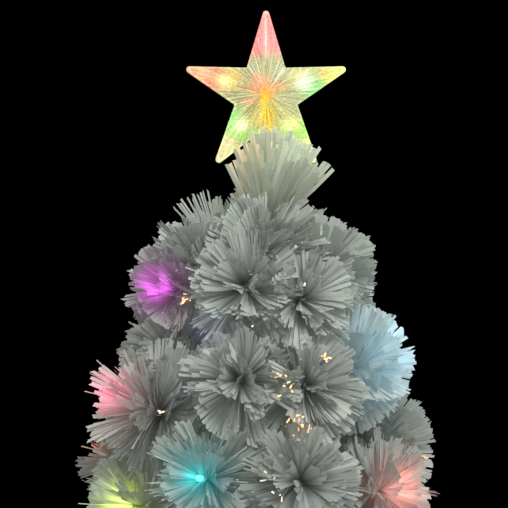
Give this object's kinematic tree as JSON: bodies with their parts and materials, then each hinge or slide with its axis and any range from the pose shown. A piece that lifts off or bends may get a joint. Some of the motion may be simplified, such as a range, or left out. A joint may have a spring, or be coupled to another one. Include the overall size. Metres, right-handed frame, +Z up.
{
  "type": "fiber optic christmas tree",
  "caption": "Tabletop fibre optic tree: white strip tufts with coloured lamps on wire branches, a ribbed clear star on top, and a round base with a lamp and turning colour wheel.",
  "frame": {"origin": "on the surface that the feet stand on, under the middle of the tree", "axes": "+Z up along the trunk, -Y towards the front of the star, +X to its right seen from the front"},
  "size_m": [0.3696, 0.3665, 0.6398],
  "materials": {
    "white_housing": "fine moulded satin",
    "foot_rubber": "matte",
    "white_foliage": "thin cut strips, slight sheen",
    "lamp_alloy": "cast, satin",
    "motor_steel": "plated",
    "screw_steel": "plated, knurled",
    "wheel_film": "tinted film in six colours",
    "black_controls": "fine texture",
    "clear_fibre": "clear, polished ends",
    "star_clear": "clear, radial ribs",
    "star_socket_clear": "clear, lit from above",
    "star_lamp_board": "board with five lamps"
  },
  "bodies": {
    "base": {"base_housing": "white_housing", "base_cover": "white_housing", "foot_1": "foot_rubber", "foot_2": "foot_rubber", "foot_3": "foot_rubber", "foot_4": "foot_rubber", "led_module": "lamp_alloy", "wheel_motor": "motor_steel", "switch_body": "black_controls", "dc_inlet": "black_controls"},
    "wheel": {"colour_wheel": "wheel_film"},
    "rocker": {"switch_rocker": "black_controls"},
    "thumb_screw": {"thumb_screw": "screw_steel"},
    "tree": {"trunk_tube": "white_housing", "fibre_bundle": "clear_fibre", "tip_rod": "white_housing", "collar_a": "white_housing", "collar_b": "white_housing", "collar_c": "white_housing", "collar_d": "white_housing", "collar_e": "white_housing", "branch_a1": "white_foliage", "branch_a2": "white_foliage", "branch_a3": "white_foliage", "branch_a4": "white_foliage", "branch_a5": "white_foliage", "branch_b1": "white_foliage", "branch_b2": "white_foliage", "branch_b3": "white_foliage", "branch_b4": "white_foliage", "branch_b5": "white_foliage", "branch_c1": "white_foliage", "branch_c2": "white_foliage", "branch_c3": "white_foliage", "branch_c4": "white_foliage", "branch_c5": "white_foliage", "branch_c6": "white_foliage", "branch_c7": "white_foliage", "branch_c8": "white_foliage", "branch_d1": "white_foliage", "branch_d2": "white_foliage", "branch_d3": "white_foliage", "branch_d4": "white_foliage", "branch_d5": "white_foliage", "branch_d6": "white_foliage", "branch_d7": "white_foliage", "branch_d8": "white_foliage", "branch_e1": "white_foliage", "branch_e2": "white_foliage", "branch_e3": "white_foliage", "branch_e4": "white_foliage", "branch_e5": "white_foliage", "branch_e6": "white_foliage", "branch_e7": "white_foliage", "branch_e8": "white_foliage", "top_tuft": "white_foliage"},
    "star": {"star_front_shell": "star_clear", "star_rear_shell": "star_clear", "star_socket": "star_socket_clear", "star_lamps": "star_lamp_board"}
  },
  "joints": [
    {"name": "wheel_spin", "type": "hinge", "parent": "base", "child": "wheel", "pos_m": [0.023, 0, 0.025], "axis": [0, 0, 1], "continuous": true},
    {"name": "switch_rock", "type": "hinge", "parent": "base", "child": "rocker", "pos_m": [-0.013, 0.0781, 0.0263], "axis": [1, 0, 0], "range_deg": [-16, 0]},
    {"name": "thumb_turn", "type": "hinge", "parent": "base", "child": "thumb_screw", "pos_m": [0, 0.02, 0.0773], "axis": [0, 1, 0], "range_deg": [0, 720]},
    {"name": "trunk_lift", "type": "slide", "parent": "base", "child": "tree", "axis": [0, 0, 1], "range_m": [0, 0.06]},
    {"name": "star_lift", "type": "slide", "parent": "tree", "child": "star", "axis": [0, 0, 1], "range_m": [0, 0.04]}
  ]
}
